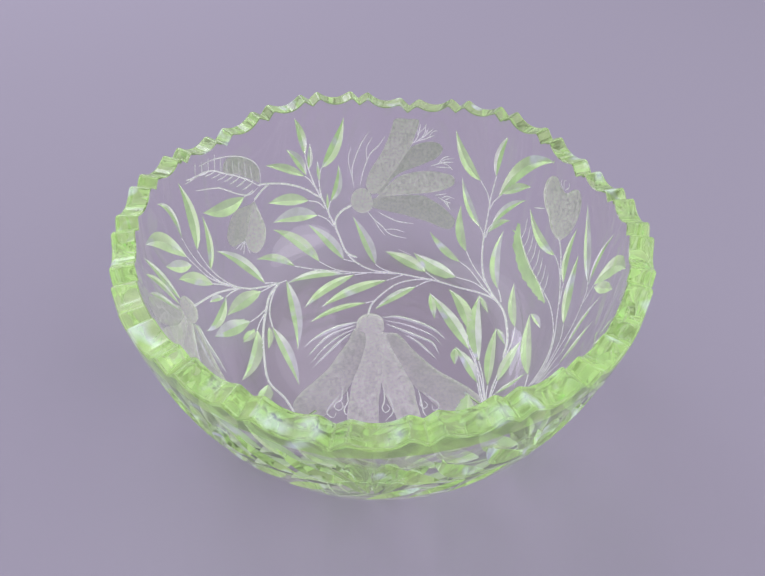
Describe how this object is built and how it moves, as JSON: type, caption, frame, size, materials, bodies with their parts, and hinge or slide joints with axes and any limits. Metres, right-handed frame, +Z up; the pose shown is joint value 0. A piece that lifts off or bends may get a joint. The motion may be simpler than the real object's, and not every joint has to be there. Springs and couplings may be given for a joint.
{
  "type": "cut glass bowl",
  "caption": "Heavy round cut glass bowl with thick wall, flat base, and a lobed rim cut into scallops and notches.",
  "frame": {"origin": "middle of the flat base's underside, on the surface that the bowl stands on", "axes": "+Z up through the middle of the mouth; +X and +Y each point at the middle of a broad scallop in the rim"},
  "size_m": [0.2028, 0.2028, 0.0899],
  "materials": {
    "uranium_glass": "polished, with matt engraved flowers and bright-cut leaves"
  },
  "bodies": {
    "root": {"bowl": "uranium_glass"}
  },
  "joints": []
}
